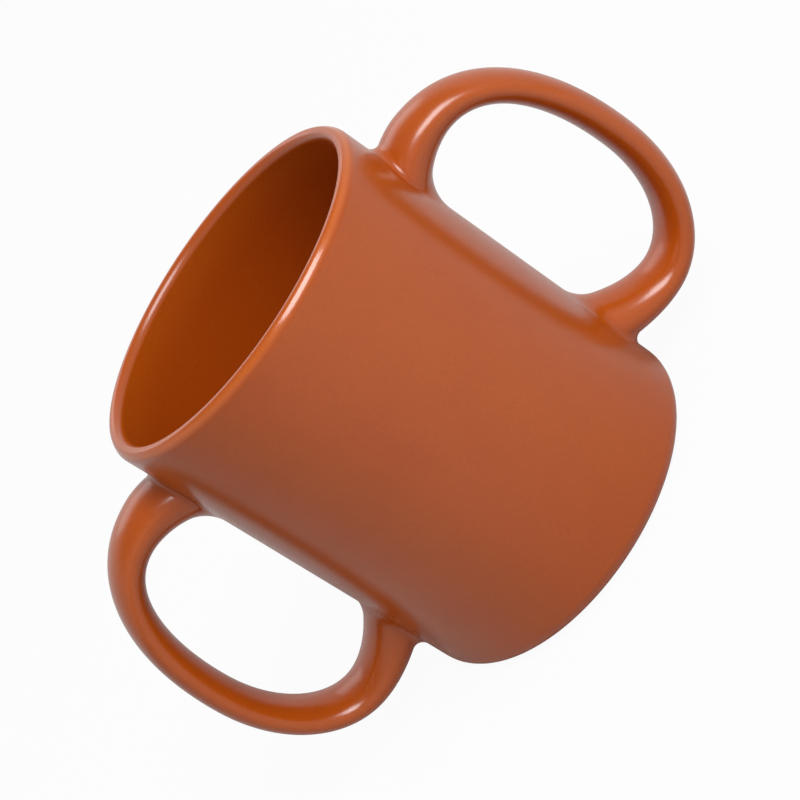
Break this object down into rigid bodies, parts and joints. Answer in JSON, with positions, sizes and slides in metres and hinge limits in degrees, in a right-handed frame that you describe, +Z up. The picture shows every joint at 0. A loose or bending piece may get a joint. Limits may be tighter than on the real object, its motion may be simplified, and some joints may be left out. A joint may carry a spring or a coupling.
{
  "type": "two-handled mug",
  "caption": "Straight-walled stoneware mug with a full-round lip, a turned foot ring and a looped ear handle on each side, for hot drinks.",
  "frame": {"origin": "centre of the foot ring, on the plane that the mug stands on", "axes": "+Z up along the cup's axis, +X through the middle of the right handle, +Y away from the pictured front"},
  "size_m": [0.1572, 0.082, 0.0945],
  "materials": {
    "cup_glaze": "satin burnt orange glaze with a fine pebble, bare clay on the foot ring",
    "handle_glaze": "the same satin burnt orange glaze",
    "joint_glaze": "the same satin burnt orange glaze, pooled a little in the crease"
  },
  "bodies": {
    "root": {"cup_body": "cup_glaze", "right_handle": "handle_glaze", "right_upper_slip_joint": "joint_glaze", "right_lower_slip_joint": "joint_glaze", "left_handle": "handle_glaze", "left_upper_slip_joint": "joint_glaze", "left_lower_slip_joint": "joint_glaze"}
  },
  "joints": []
}
